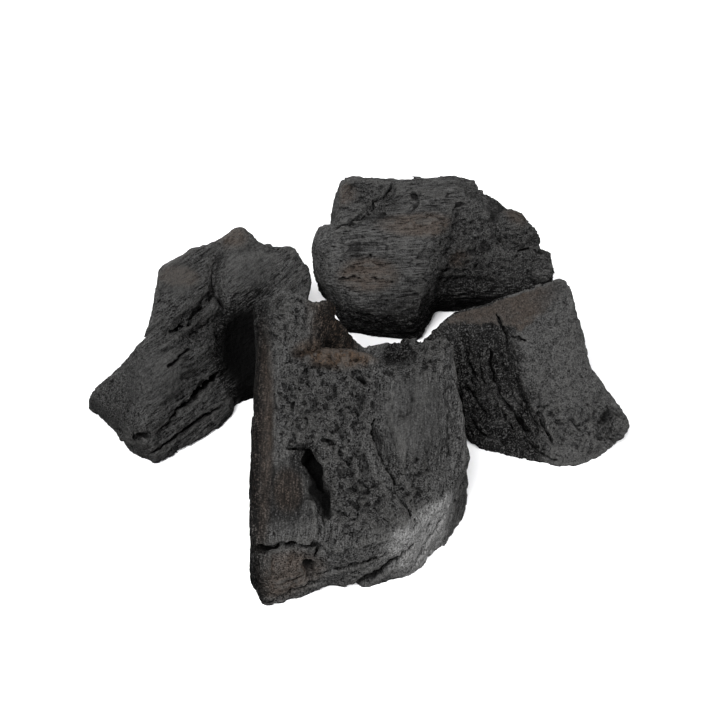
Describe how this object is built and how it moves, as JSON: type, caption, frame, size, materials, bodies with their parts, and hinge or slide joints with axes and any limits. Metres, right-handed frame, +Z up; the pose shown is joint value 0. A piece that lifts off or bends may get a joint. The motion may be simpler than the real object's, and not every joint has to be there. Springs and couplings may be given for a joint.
{
  "type": "hardwood lump charcoal",
  "caption": "Heap of loose lumps of hardwood charcoal, each split along the grain and cracked across it, resting on a flat surface.",
  "frame": {"origin": "middle of the heap's bounding box, on the surface that the lumps stand on", "axes": "+X to the right and +Y away from the viewer who has the largest lump in front, +Z up"},
  "size_m": [0.225, 0.2108, 0.0788],
  "materials": {
    "charcoal": "matte charred wood, near black, with a faint graphite sheen and brownish split faces"
  },
  "bodies": {
    "front_lump": {"front_lump": "charcoal"},
    "left_lump": {"left_lump": "charcoal"},
    "back_lump": {"back_lump": "charcoal"},
    "right_lump": {"right_lump": "charcoal"}
  },
  "joints": [
    {"name": "lift_front_lump", "type": "slide", "parent": "back_lump", "child": "front_lump", "axis": [0, 0, 1], "range_m": [0, 0.1]},
    {"name": "lift_left_lump", "type": "slide", "parent": "back_lump", "child": "left_lump", "axis": [0, 0, 1], "range_m": [0, 0.1]},
    {"name": "lift_right_lump", "type": "slide", "parent": "back_lump", "child": "right_lump", "axis": [0, 0, 1], "range_m": [0, 0.1]}
  ]
}
